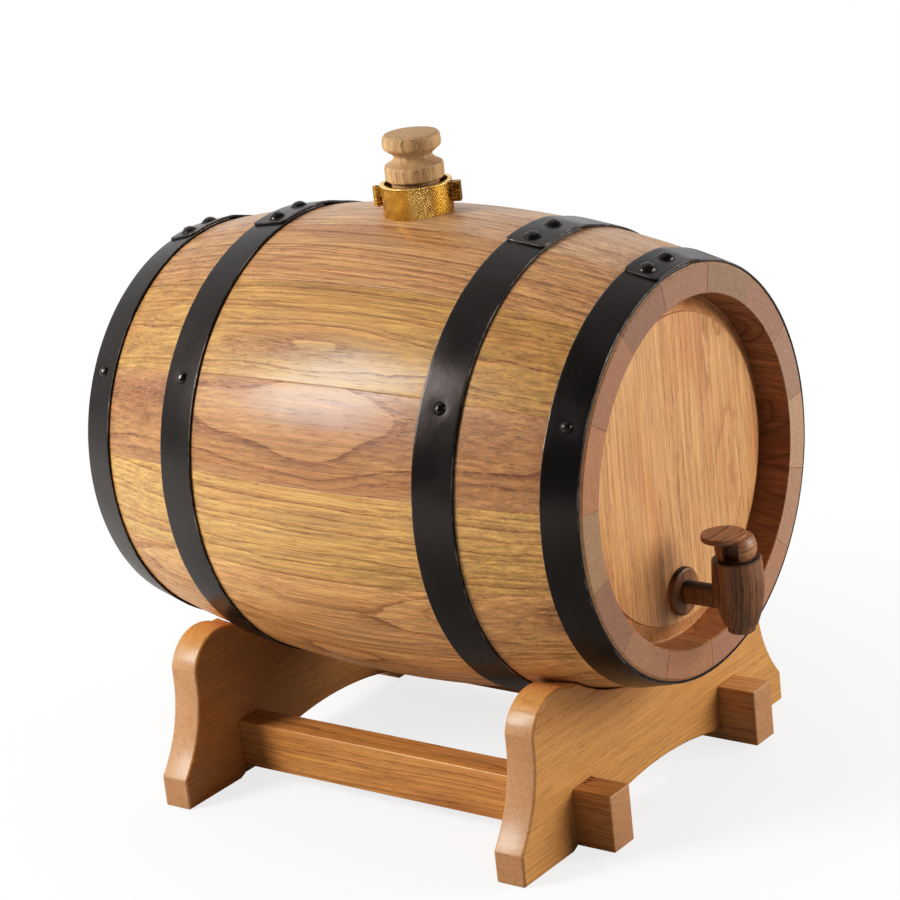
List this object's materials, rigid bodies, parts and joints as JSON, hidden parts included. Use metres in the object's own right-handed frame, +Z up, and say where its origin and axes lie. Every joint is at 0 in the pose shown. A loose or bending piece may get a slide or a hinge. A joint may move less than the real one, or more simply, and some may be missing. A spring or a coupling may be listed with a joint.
{
  "type": "oak wine barrel",
  "caption": "Small oak wine barrel with black steel hoops, a turned bung in a brass collar and a wooden tap, lying on a slotted cradle stand.",
  "frame": {"origin": "on the floor, under the middle of the object's whole length and width", "axes": "+Z up; the barrel's long axis lies along Y with the tap at -Y; +X to the right when facing the tap"},
  "size_m": [0.26, 0.3632, 0.3567],
  "materials": {
    "stave_oak": "satin, oiled",
    "head_oak": "satin, oiled",
    "dowel_wood": "matte",
    "hoop_steel": "satin black",
    "rivet_steel": "gloss black",
    "bung_oak": "matte",
    "brass": "brushed, cross-hatched",
    "cork": "matte",
    "walnut": "satin",
    "stand_wood": "satin"
  },
  "bodies": {
    "stand": {"stand_board_back": "stand_wood", "stand_board_front": "stand_wood", "stand_rail_left": "stand_wood", "stand_rail_right": "stand_wood"},
    "barrel": {"back_end_hoop": "hoop_steel", "back_head_board_centre": "head_oak", "back_head_board_left": "head_oak", "back_head_board_right": "head_oak", "back_head_dowels": "dowel_wood", "back_inner_hoop": "hoop_steel", "collar_clamp_screw": "brass", "collar_front_half": "brass", "collar_hinge_pin": "brass", "collar_rear_half": "brass", "front_end_hoop": "hoop_steel", "front_head_board_centre": "head_oak", "front_head_board_left": "head_oak", "front_head_board_right": "head_oak", "front_head_dowels": "dowel_wood", "front_inner_hoop": "hoop_steel", "hoop_nails": "rivet_steel", "hoop_rivets": "rivet_steel", "stave_01_bung": "stave_oak", "stave_02": "stave_oak", "stave_03": "stave_oak", "stave_04": "stave_oak", "stave_05": "stave_oak", "stave_06": "stave_oak", "stave_07": "stave_oak", "stave_08": "stave_oak", "stave_09": "stave_oak", "stave_10": "stave_oak", "stave_11": "stave_oak", "stave_12": "stave_oak", "stave_13": "stave_oak", "stave_14": "stave_oak", "stave_15": "stave_oak"},
    "bung": {"bung": "bung_oak"},
    "tap": {"tap_body": "walnut", "tap_cork_liner": "cork"},
    "tap_key": {"tap_key": "walnut"}
  },
  "joints": [
    {"name": "barrel_lift", "type": "slide", "parent": "stand", "child": "barrel", "axis": [0, 0, 1], "range_m": [0, 0.15]},
    {"name": "bung_pull", "type": "slide", "parent": "barrel", "child": "bung", "axis": [0, 0, 1], "range_m": [0, 0.06]},
    {"name": "tap_draw", "type": "slide", "parent": "barrel", "child": "tap", "axis": [0, -1, 0], "range_m": [0, 0.06]},
    {"name": "tap_key_turn", "type": "hinge", "parent": "tap", "child": "tap_key", "pos_m": [-0.005, -0.1679, 0.121], "axis": [0, 0, 1], "continuous": true}
  ]
}
